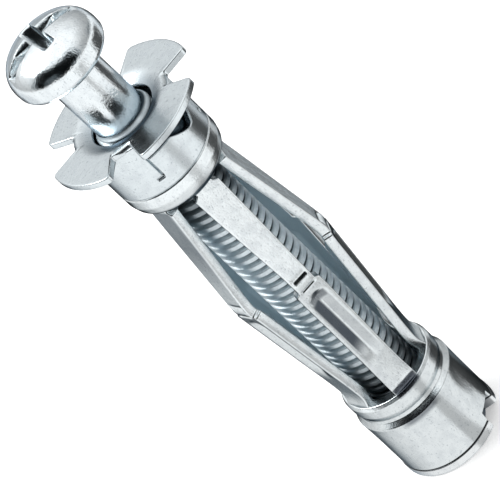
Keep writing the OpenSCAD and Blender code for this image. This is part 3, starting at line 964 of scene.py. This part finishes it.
def plateShell(shape):
    # columns run round the outline, rows from the hole over the top, round the edge and back below
    rim, root, mouth = shape["flange"], shape["gapRoot"], shape["gapMouth"]
    step = 360 / shape["gaps"]
    lip = math.degrees(math.asin(mouth / rim))
    corners = []
    for index in range(shape["gaps"]):
        turn = math.radians(shape["firstGap"] + step * index)
        across = np.array([-math.sin(turn), math.cos(turn)])
        along = np.array([math.cos(turn), math.sin(turn)])
        deep = math.sqrt(shape["skirt"] ** 2 - root ** 2)
        out = math.sqrt(rim ** 2 - mouth ** 2)
        less = shape["frontInset"] if index == frontGap else 0.0
        right = mouth - less
        far = math.sqrt(rim ** 2 - right ** 2)
        corners.append([*(along * out - across * mouth), shape["corner"]])
        corners.append([*(along * deep - across * (root + 0.6 * less)), shape["rootCorner"]])
        corners.append([*(along * shape["skirt"] - across * 0.6 * less), 0])
        corners.append([*(along * deep + across * (root - 0.6 * less)), shape["rootCorner"]])
        corners.append([*(along * far + across * right), shape["corner"]])
        start = math.degrees(math.asin(right / rim)) + shape["arcStart"]
        end = step - lip - shape["arcStart"]
        arc = np.radians(shape["firstGap"] + step * index + np.linspace(start, end, 30))
        corners += [[rim * math.cos(a), rim * math.sin(a), 0] for a in arc]
    outline = rounded(corners)
    around = np.roll(outline, -1, 0) - np.roll(outline, 1, 0)
    normal = np.stack([around[:, 1], -around[:, 0]], -1)
    normal /= np.linalg.norm(normal, axis=1, keepdims=True)
    angle = np.degrees(np.arctan2(outline[:, 1], outline[:, 0]))
    away = np.abs((angle - shape["firstGap"] + step / 2) % step - step / 2)
    fade, gone = shape["bendSoft"]
    inGap = 1 - smooth(np.radians(away) * shape["skirt"], root + fade, root + gone)
    inGap = inGap * (np.hypot(*outline.T) < shape["skirt"] + 0.1)
    edge = (shape["edge"] + (shape["bend"] - shape["edge"]) * inGap)[None, :, None]
    hole = outline / np.hypot(*outline.T)[:, None] * shape["hole"]
    inner = outline[None] - normal[None] * edge
    share = np.concatenate([np.linspace(0, 0.4, 14) ** 1.2, np.linspace(0.42, 1, 14)])[:, None, None]
    top = hole[None] + (inner - hole[None]) * share
    roll = np.linspace(0, np.pi / 2, 6)[1:, None, None]
    outer = outline[None] - normal[None] * edge * (1 - np.sin(roll))
    outerDrop = edge[..., 0] * (1 - np.cos(roll[..., 0]))
    low = shape["underEdge"]
    lower = outline[None] - normal[None] * low * (1 - np.sin(roll[::-1]))
    lowerDrop = shape["sheet"] - low * (1 - np.cos(roll[::-1, :, 0])) + 0 * edge[..., 0]
    under = hole[None] + (outline[None] - normal[None] * low - hole[None]) * share[::-1]
    flat = np.concatenate([top, outer, lower, under])
    drop = np.concatenate([np.zeros(top.shape[:2]), outerDrop, lowerDrop,
                           np.full(under.shape[:2], shape["sheet"])])
    radius = np.hypot(flat[..., 0], flat[..., 1])
    drop = drop + shape["drawn"] * (1 - smooth(radius, shape["drawnFrom"], shape["drawnTo"]))
    points = np.concatenate([flat, flangeTop - drop[..., None]], -1)
    points = np.concatenate([points, points[:1]])
    return grid(points, wrap=True)


def skirtShell(shape):
    # the wall's upper end follows the windows, and a bell is carved along the slit and its foot
    step = 360 / shape["gaps"]
    base = np.linspace(0, step, 41)
    near = shape["windowStart"]
    fine = np.concatenate([near + np.linspace(-2.4, 2.4, 25),
                           near + shape["windowAngle"] + np.linspace(-1, 1, 9),
                           near - shape["slitHook"] + np.linspace(-1, 1, 5)])
    local = np.unique(np.round(np.concatenate([base, fine % step]), 3))
    local = local[local < step]
    into = (local - near) % step
    line = np.array(shape["windowLine"])
    sill = np.interp(into, line[:, 0], line[:, 1])
    sections = []
    for index in range(shape["gaps"]):
        # only the window at the front is opened far
        wide, most = (shape["windowAngle"], np.inf) if index == frontGap else shape["otherWindows"]
        inside = np.minimum(smooth(into, 0.0, 0.7), smooth(wide - into, 0.0, 0.7)) * (into < wide)
        limit = shape["wallTop"] + (np.minimum(sill, most) - shape["wallTop"]) * inside
        sections.append(wallSection(shape, local, limit, near, step))
    section = np.concatenate(sections, 1)
    angles = np.concatenate([local + shape["firstGap"] + step * index for index in range(shape["gaps"])])
    points = turned(section[..., 0], flangeTop - section[..., 1], np.radians(angles)[None])
    return grid(points, wrap=True)


def wallSection(shape, local, limit, near, step):
    # radius and depth of the wall's section at each angle of one quarter, from the rim up to its top
    wall, sheet, rim = shape["skirt"], shape["sheet"], shape["rim"]
    share = np.linspace(0, 1, 60)[:, None]
    soften = shape["soften"]
    outerDepth = (rim - soften) + (limit[None] + soften - rim + soften) * share
    groove = np.abs((local[None] - near + step / 2) % step - step / 2) * math.radians(1) * wall
    slit = bell(groove, 0, shape["slitWide"]) * smooth(shape["slitFoot"] + 0.05 - outerDepth, 0, 0.1)
    hookAway = (near - local[None]) % step
    hook = bell(outerDepth, shape["slitFoot"], shape["hookWide"])
    hook = hook * smooth(shape["slitHook"] - hookAway, 0, 1.0)
    carve = shape["slitDeep"] * np.maximum(slit, hook)
    lift = shape["slitLift"] * bell(hookAway, 1.5, 3.0) * smooth(shape["slitFoot"] - outerDepth, 0, 0.8)
    outer = np.stack([wall - carve + lift, outerDepth], -1)

    def row(radius, depth):
        return np.stack(np.broadcast_arrays(radius, depth + 0 * local), -1)[None]

    rimIn = row(wall - sheet, rim)
    crownIn = row(wall - sheet + 0.04, limit)
    return np.concatenate([rimIn, row(wall - soften, rim), outer, row(wall - soften, limit), crownIn, rimIn])


capShells = [plateShell(capShape), skirtShell(capShape)]
cap = putPiece("flangeCap", capShells, zinc["capZinc"], "anchor")
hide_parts("flange_cap")
print("flange cap made")
